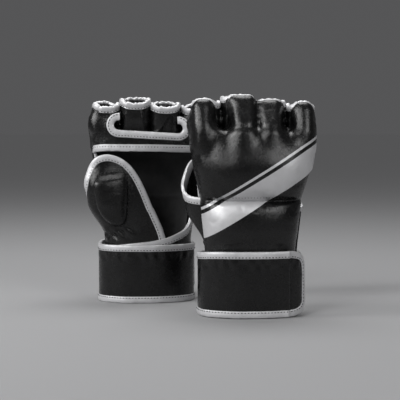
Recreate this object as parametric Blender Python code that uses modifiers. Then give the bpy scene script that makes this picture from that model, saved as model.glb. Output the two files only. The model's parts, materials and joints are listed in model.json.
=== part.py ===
"""A pair of open-palm martial arts gloves, standing upright on their wrist straps.

Each glove is modelled in its own frame. +Z runs from the cuff to the fingers, the back of the hand faces -Y
and the thumb side faces -X. Angles round the hand run from the middle of the back (0 degrees) through the
little-finger side (90) and the palm (180) to the thumb side (270). The left glove is the right glove mirrored
in Y.
"""
import math

import bmesh
import bpy
import numpy as np
from mathutils import Matrix, Vector

MM = 0.001

# Where the gloves stand
LEFT_GLOVE_ASIDE = 108 * MM       # how far the left glove stands to the left of the right one
LEFT_GLOVE_BEHIND = 96 * MM       # how far it stands behind
RIGHT_GLOVE_YAW = 4.0             # degrees, thumb side turned to the front
LEFT_GLOVE_YAW = 6.0

# Clearances and tessellation
GAP = 0.4 * MM                    # between pieces that touch on the real glove
FACET = 9.0                       # degrees of arc covered by one facet
WELD = 0.001 * MM

# Heights above the floor
COVER_FOOT = 6 * MM               # lower end of the back panel, inside the strap
WRAP_HEIGHT = 60 * MM             # strap on the palm side
FLAP_HEIGHT = 65.5 * MM           # strap on the back
CREASE_HEIGHT = 113.5 * MM
KNUCKLE_HEIGHT = 158 * MM
FINGER_BASE_HEIGHT = 180.5 * MM

# Hand shell at the wrist, crease, knuckles and finger base: half width, depth to the back, depth to the palm
WRIST_HALF_WIDTH = 45 * MM
CREASE_HALF_WIDTH = 50.5 * MM
KNUCKLE_HALF_WIDTH = 59.5 * MM
FINGER_BASE_HALF_WIDTH = 63.5 * MM
WRIST_BACK_DEPTH = 29 * MM
CREASE_BACK_DEPTH = 31 * MM
KNUCKLE_BACK_DEPTH = 34 * MM
FINGER_BASE_BACK_DEPTH = 30 * MM
WRIST_PALM_DEPTH = 27 * MM
CREASE_PALM_DEPTH = 27 * MM
KNUCKLE_PALM_DEPTH = 24 * MM
FINGER_BASE_PALM_DEPTH = 22 * MM
ROUNDNESS = 0.85                  # 1 is an ellipse, less is boxier
SIDE_ANGLE = 89.5                 # where the back panel ends on either side

# Padding on the back, from the leather's outside to the lining's inside
WRIST_PADDING = 7 * MM
CREASE_PADDING = 14 * MM
KNUCKLE_PADDING = 20 * MM
SIDE_PADDING = 9 * MM
FINGER_SIDE_PADDING = 5 * MM      # thinner at the sides of the finger base
PADDING_FALLOFF = 2               # how fast it thins towards the sides
FOAM_SIDE_FACETS = 3              # the padding stops this many facets short of the leather's sides
COVER_THICKNESS = 2 * MM
LINING_THICKNESS = 1.6 * MM
KNUCKLE_SWELL = 3 * MM
KNUCKLE_SWELL_SPREAD = 18 * MM
CREASE_DEPTH = 5 * MM
CREASE_SPREAD = 5 * MM
CREASE_SIDE_SHARE = 0.35          # of its depth is left at the sides
TURN_GAP = 0.7 * MM               # between the strap's two turns
FOAM_GAP = 0.7 * MM               # between the padding and what covers it
FOAM_SETBACK = 8 * MM             # from the crease to the padding on either side of it
SIDE_ROLL = 2.5 * MM              # how far the leather is drawn in along its sides
SIDE_ROLL_SHARPNESS = 8

# Bound edges
BINDING_WIDTH = 6.5 * MM
THUMB_HOLE_BINDING_WIDTH = 3.5 * MM
BINDING_PROUD = 0.8 * MM          # how far the middle of the tape stands off the panel
BINDING_WRAP = 0.8 * MM           # how far it reaches behind the panel

# Palm bar
PALM_BAR_THICKNESS = 3 * MM
PALM_BAR_HEIGHT = 21 * MM
PALM_BAR_SETBACK = 1.5 * MM       # from the finger base down to the bar's upper edge
PALM_BAR_TOP = FINGER_BASE_HEIGHT - PALM_BAR_SETBACK
PALM_BAR_FOOT = PALM_BAR_TOP - PALM_BAR_HEIGHT

# Thumb guard
THUMB_GUARD_START = 172.0         # degrees, foot of the leg in the palm
THUMB_GUARD_END = 267.0           # just short of the back panel
THUMB_GUARD_THICKNESS = 2.5 * MM
THUMB_BULGE = 22 * MM             # how far it stands off the hand shell
THUMB_BULGE_SKEW = 2.2            # more than 1 moves the fullest place to the thumb side
THUMB_BULGE_FULL_HEIGHT = 106 * MM
THUMB_BULGE_EASE_HEIGHT = 121.5 * MM
THUMB_BULGE_TIP_SHARE = 0.7
THUMB_ARCH_FOOT = 80.5 * MM       # outline of the arched edge, from the palm to the thumb side
THUMB_ARCH_INNER_SHOULDER = 140 * MM
THUMB_ARCH_PEAK = 149.5 * MM
THUMB_ARCH_OUTER_SHOULDER = 144 * MM
THUMB_ARCH_OUTER_LEG = 118.5 * MM
THUMB_HOLE_FOOT = 110 * MM
THUMB_HOLE_CLEARANCE = 2 * MM     # between the hole's two bound edges, where they meet
THUMB_PAD_GAP = 0.7 * MM
THUMB_PAD_THICKNESS = 7 * MM
THUMB_PAD_START = 206.0
THUMB_PAD_END = 244.0
THUMB_PAD_FOOT = 82.5 * MM
THUMB_PAD_TOP = 133.5 * MM
THUMB_PAD_CROWN_SHARPNESS = 4

# Wrist strap
STRAP_THICKNESS = 2.6 * MM
HOOK_THICKNESS = 1.0 * MM
INNER_WRAP_FOOT = 3 * MM
ROOT_THUMB_HEIGHT = 56 * MM       # first turn's upper edge at the thumb side, under its binding
ROOT_LITTLE_HEIGHT = 78.5 * MM    # and at the little-finger side
ROOT_END_SETBACK = 2.0            # degrees, so that the slanted tape's end clears the loop panel
FLAP_END_ANGLE = 52.0
FLAP_END_LIFT = 4 * MM            # the free end stands off a little
FLAP_LIFT_START = 25.0
FLAP_CORNER = 9 * MM
HOOK_MARGIN = 8 * MM
HOOK_START_ANGLE = -50.0
HOOK_END_ANGLE = 24.0

# Finger sleeves: centre, width, depth of the hole, and length from the finger base to the back of the rim
FINGERS = {
    "index": {"x": -45 * MM, "width": 28 * MM, "hole": 20 * MM, "length": 35 * MM},
    "middle": {"x": -11 * MM, "width": 30 * MM, "hole": 23 * MM, "length": 39 * MM},
    "ring": {"x": 20 * MM, "width": 30 * MM, "hole": 22 * MM, "length": 36 * MM},
    "little": {"x": 51 * MM, "width": 25 * MM, "hole": 18 * MM, "length": 33 * MM},
}
FINGER_SIDE_WALL = 3 * MM
FINGER_LOOP_WALL = 2.5 * MM
FINGER_RIM_PAD = 7 * MM           # padding left at the rim
FINGER_RIM_WALL = 3.5 * MM
FINGER_RIM_HEIGHT = 6 * MM
FINGER_LEAN = 3 * MM              # towards the palm, at the rim
FINGER_TAPER = 0.05
FINGER_ROUNDNESS = 0.7
FINGER_RIM_DROP = 9 * MM          # the rim is lower on the palm side
FINGER_COLUMNS = 16
FINGER_ROWS = 4
FLEX_AXIS_DEPTH = 9 * MM          # knuckle axis, on the palm side of the hand shell's middle plane

# Offsets of the strap's layers from the hand shell
INNER_WRAP_OUTSIDE = GAP + STRAP_THICKNESS
HOOK_OUTSIDE = INNER_WRAP_OUTSIDE + GAP + HOOK_THICKNESS
FLAP_OUTSIDE = HOOK_OUTSIDE + GAP + STRAP_THICKNESS
STRAP_WRAP_THICKNESS = FLAP_OUTSIDE - INNER_WRAP_OUTSIDE - TURN_GAP

MATERIALS = {
    "black_leather": {"colour": (0.012, 0.012, 0.013), "roughness": 0.38},
    "silver_leather": {"colour": (0.56, 0.56, 0.57), "roughness": 0.42},
    "black_lining": {"colour": (0.010, 0.010, 0.011), "roughness": 0.8},
    "foam": {"colour": (0.05, 0.05, 0.05), "roughness": 0.9},
    "black_loop": {"colour": (0.014, 0.014, 0.014), "roughness": 0.95},
    "black_hook": {"colour": (0.02, 0.02, 0.02), "roughness": 0.6},
}


def clear_scene():
    for obj in list(bpy.data.objects):
        bpy.data.objects.remove(obj)


def make_material(name, colour, roughness):
    material = bpy.data.materials.new(name)
    material.use_nodes = True
    shader = material.node_tree.nodes["Principled BSDF"]
    shader.inputs["Base Color"].default_value = (*colour, 1.0)
    shader.inputs["Roughness"].default_value = roughness
    shader.inputs["Metallic"].default_value = 0.0
    return material


def mix(low, high, share):
    return low + (high - low) * share


def ease(value, low, high):
    """0 up to low, 1 from high on, and a smooth step between them."""
    share = min(max((value - low) / (high - low), 0.0), 1.0)
    return share * share * (3.0 - 2.0 * share)


def signed_power(value, power):
    return math.copysign(abs(value) ** power, value)


def facets(start, end):
    return max(2, round(abs(end - start) / FACET))


# The hand shell

def shell_stations():
    return FLAP_HEIGHT, CREASE_HEIGHT, KNUCKLE_HEIGHT, FINGER_BASE_HEIGHT


def shell_size(z):
    """Half width, depth to the back and depth to the palm at one height, the same all along the strap."""
    widths = WRIST_HALF_WIDTH, CREASE_HALF_WIDTH, KNUCKLE_HALF_WIDTH, FINGER_BASE_HALF_WIDTH
    backs = WRIST_BACK_DEPTH, CREASE_BACK_DEPTH, KNUCKLE_BACK_DEPTH, FINGER_BASE_BACK_DEPTH
    palms = WRIST_PALM_DEPTH, CREASE_PALM_DEPTH, KNUCKLE_PALM_DEPTH, FINGER_BASE_PALM_DEPTH
    return [float(np.interp(z, shell_stations(), sizes)) for sizes in (widths, backs, palms)]


def hand_point(angle, z, offset=0.0):
    """A point that stands off the hand shell by offset, outwards."""
    half_width, back, palm = shell_size(z)
    sine = math.sin(math.radians(angle))
    cosine = math.cos(math.radians(angle))
    depth = back if cosine > 0 else palm
    point = Vector((half_width * signed_power(sine, ROUNDNESS), -depth * signed_power(cosine, ROUNDNESS), z))
    outwards = Vector((
        signed_power(sine, 2 - ROUNDNESS) / half_width,
        -signed_power(cosine, 2 - ROUNDNESS) / depth,
        0.0,
    ))
    return point + outwards.normalized() * offset


def cover_offset(angle, z):
    """The leather on the back: drawn in along its sides and at the crease, and swollen over the knuckles."""
    side = abs(angle / SIDE_ANGLE) ** SIDE_ROLL_SHARPNESS
    crease = math.exp(-(((z - CREASE_HEIGHT) / CREASE_SPREAD) ** 2))
    crease *= mix(CREASE_SIDE_SHARE, 1.0, abs(math.cos(math.radians(angle))))
    knuckles = math.exp(-(((z - KNUCKLE_HEIGHT) / KNUCKLE_SWELL_SPREAD) ** 2)) * (1.0 - side)
    roll = SIDE_ROLL * side * (1.0 - ease(z, KNUCKLE_HEIGHT, FINGER_BASE_HEIGHT))
    free_of_strap = ease(z, FLAP_HEIGHT, FLAP_HEIGHT + CREASE_SPREAD)
    return free_of_strap * (KNUCKLE_SWELL * knuckles - CREASE_DEPTH * crease - roll)


def padding_depth(angle, z):
    """From the hand shell in to the lining's inside, thinner towards the sides."""
    middles = WRIST_PADDING, CREASE_PADDING, KNUCKLE_PADDING, KNUCKLE_PADDING
    sides = WRIST_PADDING, SIDE_PADDING, SIDE_PADDING, FINGER_SIDE_PADDING
    middle = float(np.interp(z, shell_stations(), middles))
    side = float(np.interp(z, shell_stations(), sides))
    return mix(side, middle, math.cos(math.radians(angle)) ** PADDING_FALLOFF)


def cover_heights(low, high):
    """Rows of the back's pieces: close together at the crease."""
    even = np.linspace(FLAP_HEIGHT, FINGER_BASE_HEIGHT, 9)
    crease = CREASE_HEIGHT + CREASE_SPREAD * np.array([-1.5, -0.75, 0.0, 0.75, 1.5])
    away = [z for z in even if abs(z - CREASE_HEIGHT) > 2.2 * CREASE_SPREAD]
    inner = [z for z in (*away, *crease) if low + GAP < z < high - GAP]
    return sorted([low, *inner, high])


# Building blocks

def add_object(name, mesh, material, body):
    """Links one node and hangs it on its body's empty without moving it in the glove's frame."""
    obj = bpy.data.objects.new(name, mesh)
    obj.data.materials.append(bpy.data.materials[material])
    obj.parent = body
    obj.matrix_parent_inverse = Matrix.Translation(-body.location)
    body.users_collection[0].objects.link(obj)
    mesh.shade_smooth()
    mesh.set_sharp_from_angle(angle=math.radians(40))
    return obj


def laid_grid(bm, place, columns, rows):
    """Adds a grid of points at place(u, v), with u and v from 0 to 1, and returns its points row by row."""
    points = bmesh.ops.create_grid(bm, x_segments=columns, y_segments=rows, size=0.5)["verts"]
    for point in points:
        point.co = place(point.co.x + 0.5, point.co.y + 0.5)
    return points


def finished_mesh(name, bm):
    mesh = bpy.data.meshes.new(name)
    bm.to_mesh(mesh)
    bm.free()
    return mesh


def sheet(name, place, columns, rows, thickness, material, body):
    """A panel of even thickness. place(u, v) gives its outside."""
    bm = bmesh.new()
    laid_grid(bm, place, columns, rows)
    obj = add_object(name, finished_mesh(name, bm), material, body)
    solidify = obj.modifiers.new("thickness", "SOLIDIFY")
    solidify.thickness = thickness
    solidify.offset = -1.0
    return obj


def padded(name, outside, inside, columns, rows, material, body, closed=False):
    """A solid between two unlike surfaces, joined round their rims. Closed makes it a tube."""
    bm = bmesh.new()
    outer = laid_grid(bm, outside, columns, rows)
    outer_faces = set(bm.faces)
    inner = laid_grid(bm, inside, columns, rows)
    bmesh.ops.reverse_faces(bm, faces=[face for face in bm.faces if face not in outer_faces])
    width = columns + 1
    top = rows * width
    rim = [(i, i + 1) for i in range(columns)] + [(top + i + 1, top + i) for i in range(columns)]
    if not closed:
        rim += [((j + 1) * width, j * width) for j in range(rows)]
        rim += [(j * width + columns, (j + 1) * width + columns) for j in range(rows)]
    for a, b in rim:
        bm.faces.new((outer[b], outer[a], inner[a], inner[b]))
    if closed:
        bmesh.ops.remove_doubles(bm, verts=bm.verts, dist=WELD)
    return add_object(name, finished_mesh(name, bm), material, body)


def normal_at(place, u, v):
    step = 0.002
    along = place(min(u + step, 1.0), v) - place(max(u - step, 0.0), v)
    up = place(u, min(v + step, 1.0)) - place(u, max(v - step, 0.0))
    return along.cross(up).normalized()


def in_plane(step, normal):
    return (step - normal * step.dot(normal)).normalized()


def binding(name, place, path, panel_thickness, body, wrap=BINDING_WRAP, width=BINDING_WIDTH,
            proud=BINDING_PROUD):
    """Tape along a panel's edge. path lists the edge's (u, v), anticlockwise seen from outside."""
    edge = [place(u, v) for u, v in path]
    normals = [normal_at(place, u, v) for u, v in path]
    last = len(edge) - 1
    across = []
    for i in range(last + 1):
        before = in_plane(edge[i] - edge[max(i - 1, 0)], normals[i])
        after = in_plane(edge[min(i + 1, last)] - edge[i], normals[i])
        tangent = (before + after).normalized()
        mitre = max(tangent.dot(after if i < last else before), 0.5)
        across.append(tangent.cross(normals[i]).normalized() / mitre)

    def tape(u, v):
        i = round(u * last)
        crown = proud * (1.0 - (2.0 * v - 1.0) ** 2)
        return edge[i] + across[i] * (GAP + width * (1.0 - v)) + normals[i] * crown

    return sheet(name, tape, last, 2, panel_thickness + wrap, "silver_leather", body)


def steps(count, start=0.0, end=1.0):
    return [mix(start, end, i / count) for i in range(count + 1)]


# Pieces of one glove

def make_back(prefix, hand):
    heights = cover_heights(COVER_FOOT, FINGER_BASE_HEIGHT)
    columns = facets(-SIDE_ANGLE, SIDE_ANGLE)

    def cover(u, v):
        z = float(np.interp(v, np.linspace(0, 1, len(heights)), heights))
        angle = mix(-SIDE_ANGLE, SIDE_ANGLE, u)
        return hand_point(angle, z, cover_offset(angle, z))

    sheet(prefix + "back_cover", cover, columns, len(heights) - 1, COVER_THICKNESS, "black_leather", hand)

    rows = [COVER_FOOT, *shell_stations()[:-1], FINGER_BASE_HEIGHT - LINING_THICKNESS]

    def lining(u, v):
        z = float(np.interp(v, np.linspace(0, 1, len(rows)), rows))
        angle = mix(-SIDE_ANGLE, SIDE_ANGLE, u)
        return hand_point(angle, z, LINING_THICKNESS - padding_depth(angle, z))

    sheet(prefix + "hand_lining", lining, columns, len(rows) - 1, LINING_THICKNESS, "black_lining", hand)
    make_foam(prefix + "back_foam", COVER_FOOT + COVER_THICKNESS, CREASE_HEIGHT - FOAM_SETBACK, hand)
    foam_top = FINGER_BASE_HEIGHT - COVER_THICKNESS
    make_foam(prefix + "knuckle_foam", CREASE_HEIGHT + FOAM_SETBACK, foam_top, hand)

    def thumb_edge(u, v):
        angle = mix(-SIDE_ANGLE, SIDE_ANGLE, u)
        z = mix(THUMB_HOLE_FOOT + BINDING_WIDTH + THUMB_HOLE_CLEARANCE, PALM_BAR_FOOT - GAP, v)
        return hand_point(angle, z, cover_offset(angle, z))

    path = [(0.0, 1.0 - v) for v in steps(8)]
    name = prefix + "thumb_hole_binding"
    binding(name, thumb_edge, path, COVER_THICKNESS, hand, width=THUMB_HOLE_BINDING_WIDTH)


def make_foam(name, low, high, hand):
    """Padding that stops short of the leather's sides, with its facets in line with the leather's."""
    heights = cover_heights(low, high)
    leather_columns = facets(-SIDE_ANGLE, SIDE_ANGLE)
    columns = leather_columns - 2 * FOAM_SIDE_FACETS
    side = SIDE_ANGLE * columns / leather_columns

    def spot(u, v):
        return mix(-side, side, u), float(np.interp(v, np.linspace(0, 1, len(heights)), heights))

    def outside(u, v):
        angle, z = spot(u, v)
        return hand_point(angle, z, cover_offset(angle, z) - COVER_THICKNESS - FOAM_GAP)

    def inside(u, v):
        angle, z = spot(u, v)
        return hand_point(angle, z, LINING_THICKNESS + FOAM_GAP - padding_depth(angle, z))

    padded(name, outside, inside, columns, len(heights) - 1, "foam", hand)


def make_palm_bar(prefix, hand):
    low = PALM_BAR_FOOT + BINDING_WIDTH + GAP
    high = PALM_BAR_TOP - BINDING_WIDTH - GAP
    columns = facets(90, 270)

    def bar(u, v):
        return hand_point(mix(90.0, 270.0, u), mix(low, high, v))

    sheet(prefix + "palm_bar", bar, columns, 1, PALM_BAR_THICKNESS, "black_leather", hand)
    binding(prefix + "palm_bar_binding", bar, [(u, 0.0) for u in steps(columns)], PALM_BAR_THICKNESS, hand)
    upper_edge = [(u, 1.0) for u in steps(columns, 1.0, 0.0)]
    binding(prefix + "slot_binding", bar, upper_edge, PALM_BAR_THICKNESS, hand, 0.0)


def finger_space(finger):
    """Middle and half sizes of a finger's hole at the finger base, and the padding in front of it."""
    half_width, back, palm = shell_size(FINGER_BASE_HEIGHT)
    power = 2.0 / ROUNDNESS
    share = (1.0 - abs(finger["x"] / half_width) ** power) ** (1.0 / power)
    palm_side = palm * share - PALM_BAR_THICKNESS - GAP - FINGER_LOOP_WALL
    half_depth = finger["hole"] / 2
    middle = palm_side - half_depth
    padding = middle - half_depth + back * share
    return middle, finger["width"] / 2 - FINGER_SIDE_WALL, half_depth, padding


def finger_surface(finger, low, high, wall):
    """A sleeve's surface round its hole. wall(t, padding) gives its thickness, low and high give its ends."""
    middle, half_width, half_depth, padding = finger_space(finger)

    def place(u, v):
        angle = 2.0 * math.pi * u
        front = math.cos(angle)
        z_low, z_high = low(front), high(front)
        z = mix(z_low, z_high, v)
        t = (z - FINGER_BASE_HEIGHT) / finger["length"]
        front_wall, side_wall, loop_wall = wall(t, padding)
        narrow = 1.0 - FINGER_TAPER * t
        x = (half_width * narrow + side_wall) * signed_power(math.sin(angle), FINGER_ROUNDNESS)
        depth = half_depth + (front_wall if front > 0 else loop_wall)
        y = middle + FINGER_LEAN * t * t - depth * signed_power(front, FINGER_ROUNDNESS)
        return Vector((finger["x"] + x, y, z))

    return place


def make_finger(prefix, name, finger, fingers):
    foot = FINGER_BASE_HEIGHT + GAP

    def rim_top(front):
        return FINGER_BASE_HEIGHT + finger["length"] - FINGER_RIM_DROP * (1.0 - front) / 2

    def rim_foot(front):
        return rim_top(front) - FINGER_RIM_HEIGHT

    def stall_wall(t, padding):
        return mix(padding, FINGER_RIM_PAD, ease(t, -0.1, 1.0)), FINGER_SIDE_WALL, FINGER_LOOP_WALL

    def rim_wall(t, padding):
        return FINGER_RIM_WALL, FINGER_RIM_WALL, FINGER_RIM_WALL

    def no_wall(t, padding):
        return 0.0, 0.0, 0.0

    def stall_foot(front):
        return foot

    def stall_top(front):
        return rim_foot(front) - GAP

    outside = finger_surface(finger, stall_foot, stall_top, stall_wall)
    hole = finger_surface(finger, stall_foot, stall_top, no_wall)
    stall = prefix + name + "_stall"
    padded(stall, outside, hole, FINGER_COLUMNS, FINGER_ROWS, "black_leather", fingers, True)
    outside = finger_surface(finger, rim_foot, rim_top, rim_wall)
    hole = finger_surface(finger, rim_foot, rim_top, no_wall)
    padded(prefix + name + "_rim", outside, hole, FINGER_COLUMNS, 1, "silver_leather", fingers, True)


def root_height(angle):
    """Upper edge of the strap's first turn, under its binding: it climbs towards the little finger."""
    return mix(ROOT_LITTLE_HEIGHT, ROOT_THUMB_HEIGHT, (angle - 90.0) / 180.0)


def guard_foot(angle):
    return root_height(angle) + BINDING_WIDTH + 2 * GAP


def guard_bulge(share, z, foot):
    """How far the thumb guard stands off the hand shell."""
    round_thumb = math.sin(math.pi * share ** THUMB_BULGE_SKEW)
    rise = ease(z, foot, THUMB_BULGE_FULL_HEIGHT)
    fall = mix(1.0, THUMB_BULGE_TIP_SHARE, ease(z, THUMB_BULGE_EASE_HEIGHT, THUMB_ARCH_PEAK))
    return THUMB_BULGE * round_thumb * rise * fall


def arch_height(share):
    """The thumb guard's arched edge: a smooth curve through six heights."""
    knots = (0.0, 0.32, 0.5, 0.7, 0.86, 1.0)
    heights = (
        THUMB_ARCH_FOOT,
        THUMB_ARCH_INNER_SHOULDER,
        THUMB_ARCH_PEAK,
        THUMB_ARCH_OUTER_SHOULDER,
        THUMB_ARCH_OUTER_LEG,
        THUMB_HOLE_FOOT,
    )
    slopes = np.gradient(heights, knots)
    i = min(int(np.searchsorted(knots, share, side="right")) - 1, len(knots) - 2)
    width = knots[i + 1] - knots[i]
    t = (share - knots[i]) / width
    value = (2 * t**3 - 3 * t**2 + 1) * heights[i] + (t**3 - 2 * t**2 + t) * width * slopes[i]
    value += (3 * t**2 - 2 * t**3) * heights[i + 1] + (t**3 - t**2) * width * slopes[i + 1]
    return float(value)


def guard_point(share, z, offset=0.0):
    angle = mix(THUMB_GUARD_START, THUMB_GUARD_END, share)
    return hand_point(angle, z, guard_bulge(share, z, guard_foot(angle)) + offset)


def make_thumb(prefix, thumb):
    columns = facets(THUMB_GUARD_START, THUMB_GUARD_END) + 5

    def guard(u, v):
        angle = mix(THUMB_GUARD_START, THUMB_GUARD_END, u)
        return guard_point(u, mix(guard_foot(angle), arch_height(u), v))

    sheet(prefix + "thumb_guard", guard, columns, 6, THUMB_GUARD_THICKNESS, "black_leather", thumb)
    path = [(u, 1.0) for u in steps(columns, 1.0, 0.0)]
    binding(prefix + "thumb_guard_binding", guard, path, THUMB_GUARD_THICKNESS, thumb)

    width = THUMB_GUARD_END - THUMB_GUARD_START
    start = (THUMB_PAD_START - THUMB_GUARD_START) / width
    end = (THUMB_PAD_END - THUMB_GUARD_START) / width

    def pad_surface(height):
        def place(u, v):
            crown = (1.0 - abs(2 * u - 1) ** THUMB_PAD_CROWN_SHARPNESS)
            crown *= 1.0 - abs(2 * v - 1) ** THUMB_PAD_CROWN_SHARPNESS
            z = mix(THUMB_PAD_FOOT, THUMB_PAD_TOP, v)
            return guard_point(mix(start, end, u), z, THUMB_PAD_GAP + height(crown))
        return place

    def top(crown):
        return mix(COVER_THICKNESS, THUMB_PAD_THICKNESS, crown)

    def bottom(crown):
        return 0.0

    padded(prefix + "thumb_pad", pad_surface(top), pad_surface(bottom), 8, 8, "black_leather", thumb)


def make_strap_turns(prefix, hand):
    columns = facets(90, 270)
    inner_start, inner_end = 180.0 - SIDE_ANGLE, 180.0 + SIDE_ANGLE

    def root(u, v):
        angle = mix(inner_start, inner_end - ROOT_END_SETBACK, u)
        return hand_point(angle, mix(INNER_WRAP_FOOT, root_height(angle), v), INNER_WRAP_OUTSIDE)

    sheet(prefix + "strap_root", root, columns, 2, STRAP_THICKNESS, "black_leather", hand)
    path = [(u, 1.0) for u in steps(columns, 1.0, 0.0)]
    binding(prefix + "strap_root_binding", root, path, STRAP_THICKNESS, hand, 0.0, proud=0.0)

    def loop_panel(u, v):
        return hand_point(
            mix(-SIDE_ANGLE, SIDE_ANGLE, u), mix(INNER_WRAP_FOOT, WRAP_HEIGHT, v), INNER_WRAP_OUTSIDE
        )

    sheet(prefix + "loop_panel", loop_panel, columns, 1, STRAP_THICKNESS, "black_loop", hand)

    def wrap(u, v):
        z = mix(BINDING_WIDTH + GAP, WRAP_HEIGHT - BINDING_WIDTH - GAP, v)
        return hand_point(mix(inner_start, inner_end, u), z, FLAP_OUTSIDE)

    sheet(prefix + "strap_wrap", wrap, columns, 1, STRAP_WRAP_THICKNESS, "black_leather", hand)
    binding(prefix + "strap_wrap_top_binding", wrap, path, STRAP_WRAP_THICKNESS, hand, 0.0)
    lower = [(u, 0.0) for u in steps(columns)]
    name = prefix + "strap_wrap_bottom_binding"
    binding(name, wrap, lower, STRAP_WRAP_THICKNESS, hand, 0.0, proud=0.0)


def flap_offset(angle):
    return FLAP_OUTSIDE + FLAP_END_LIFT * ease(angle, FLAP_LIFT_START, FLAP_END_ANGLE + FACET)


def make_strap_flap(prefix, strap):
    """The free end: straight edges, round corners at the tip, bound along its three free edges."""
    low = BINDING_WIDTH + GAP
    high = FLAP_HEIGHT - BINDING_WIDTH - GAP
    fine = [mix(-SIDE_ANGLE, FLAP_END_ANGLE, share) for share in steps(200)]
    points = [hand_point(angle, low, flap_offset(angle)) for angle in fine]
    lengths = np.concatenate([[0.0], np.cumsum([(b - a).length for a, b in zip(points, points[1:])])])
    total = lengths[-1]
    straight = [mix(0.0, total - FLAP_CORNER, share) for share in steps(facets(-SIDE_ANGLE, FLAP_END_ANGLE))]
    corner = [total - FLAP_CORNER * (1.0 - math.sin(math.pi / 2 * share)) for share in steps(5)[1:]]
    stops = straight + corner
    last = len(stops) - 1

    def inset(distance):
        into = max(distance - (total - FLAP_CORNER), 0.0)
        return FLAP_CORNER - math.sqrt(max(FLAP_CORNER**2 - into**2, 0.0))

    def flap(u, v):
        distance = float(np.interp(u, steps(last), stops))
        angle = float(np.interp(distance, lengths, fine))
        cut = inset(distance)
        return hand_point(angle, mix(low + cut, high - cut, v), flap_offset(angle))

    sheet(prefix + "strap_flap", flap, last, 1, STRAP_THICKNESS, "black_leather", strap)
    path = [(u, 0.0) for u in steps(last)] + [(u, 1.0) for u in steps(last, 1.0, 0.0)]
    binding(prefix + "strap_flap_binding", flap, path, STRAP_THICKNESS, strap, 0.5 * BINDING_WRAP)

    def hook(u, v):
        angle = mix(HOOK_START_ANGLE, HOOK_END_ANGLE, u)
        return hand_point(angle, mix(low + HOOK_MARGIN, WRAP_HEIGHT - HOOK_MARGIN, v), HOOK_OUTSIDE)

    columns = facets(HOOK_START_ANGLE, HOOK_END_ANGLE)
    sheet(prefix + "hook_patch", hook, columns, 1, HOOK_THICKNESS, "black_hook", strap)


# Assembly

def add_empty(name, parts, parent, point):
    """An empty on a body's joint axis. Its pieces are modelled in the glove's frame and hang on it."""
    empty = bpy.data.objects.new(name, None)
    parts.objects.link(empty)
    empty.parent = parent
    empty.location = point
    return empty


def thumb_axis_point():
    """The thumb guard swings about the fullest place of its foot, so that the rest of it lifts clear."""
    share = 0.5
    angle = mix(THUMB_GUARD_START, THUMB_GUARD_END, share)
    return hand_point(angle, guard_foot(angle), BINDING_PROUD)


def make_glove(side, parts):
    prefix = side + "_"
    glove = bpy.data.objects.new(prefix + "glove", None)
    parts.objects.link(glove)
    hand = add_empty(prefix + "hand", parts, glove, Vector())
    knuckles = Vector((0.0, FLEX_AXIS_DEPTH, FINGER_BASE_HEIGHT + GAP / 2))
    fingers = add_empty(prefix + "fingers", parts, glove, knuckles)
    thumb = add_empty(prefix + "thumb", parts, glove, thumb_axis_point())
    fold = Vector((-(WRIST_HALF_WIDTH + FLAP_OUTSIDE + BINDING_PROUD), 0.0, FLAP_HEIGHT / 2))
    strap = add_empty(prefix + "strap", parts, glove, fold)
    make_back(prefix, hand)
    make_palm_bar(prefix, hand)
    make_strap_turns(prefix, hand)
    for name, finger in FINGERS.items():
        make_finger(prefix, name, finger, fingers)
    make_thumb(prefix, thumb)
    make_strap_flap(prefix, strap)
    return glove


def centre_on_floor(gloves):
    """Moves the pair so that it rests on the floor, with the middle of its box over the origin."""
    bpy.context.view_layer.update()
    finished = bpy.context.evaluated_depsgraph_get()
    points = [
        obj.matrix_world @ vertex.co
        for obj in bpy.data.objects if obj.type == "MESH"
        for vertex in obj.evaluated_get(finished).data.vertices
    ]
    low = np.min(points, axis=0)
    high = np.max(points, axis=0)
    shift = Vector(((low[0] + high[0]) / 2, (low[1] + high[1]) / 2, low[2]))
    for glove in gloves:
        glove.location -= shift


def main():
    clear_scene()
    parts = bpy.data.collections.new("mma_gloves")
    bpy.context.scene.collection.children.link(parts)
    for name, look in MATERIALS.items():
        make_material(name, **look)
    right = make_glove("right", parts)
    right.rotation_euler.z = math.radians(RIGHT_GLOVE_YAW)
    left = make_glove("left", parts)
    left.location = (-LEFT_GLOVE_ASIDE, LEFT_GLOVE_BEHIND, 0.0)
    left.scale = (1.0, -1.0, 1.0)
    left.rotation_euler.z = math.radians(LEFT_GLOVE_YAW)
    centre_on_floor((right, left))


main()
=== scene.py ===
import json
import math

import bmesh
import bpy
import numpy as np
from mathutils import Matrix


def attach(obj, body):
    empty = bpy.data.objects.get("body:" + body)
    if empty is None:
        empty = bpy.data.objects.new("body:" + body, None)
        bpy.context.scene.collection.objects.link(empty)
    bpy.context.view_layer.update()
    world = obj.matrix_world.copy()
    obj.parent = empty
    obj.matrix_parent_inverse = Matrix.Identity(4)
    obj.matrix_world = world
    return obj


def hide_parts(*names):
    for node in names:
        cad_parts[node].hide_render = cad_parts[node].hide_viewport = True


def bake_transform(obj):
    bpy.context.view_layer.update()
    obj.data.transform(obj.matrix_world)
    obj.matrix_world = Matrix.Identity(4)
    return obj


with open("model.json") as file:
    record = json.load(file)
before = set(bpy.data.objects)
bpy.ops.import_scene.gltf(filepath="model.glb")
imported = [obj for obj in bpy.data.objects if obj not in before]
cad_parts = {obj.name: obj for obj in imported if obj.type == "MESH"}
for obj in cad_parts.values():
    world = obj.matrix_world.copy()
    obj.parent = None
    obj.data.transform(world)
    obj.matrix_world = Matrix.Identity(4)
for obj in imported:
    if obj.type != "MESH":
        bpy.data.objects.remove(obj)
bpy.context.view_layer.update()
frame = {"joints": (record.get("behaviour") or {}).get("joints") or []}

import openvdb
from mathutils import Matrix, Vector
from mathutils.bvhtree import BVHTree

scene = bpy.context.scene

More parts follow.
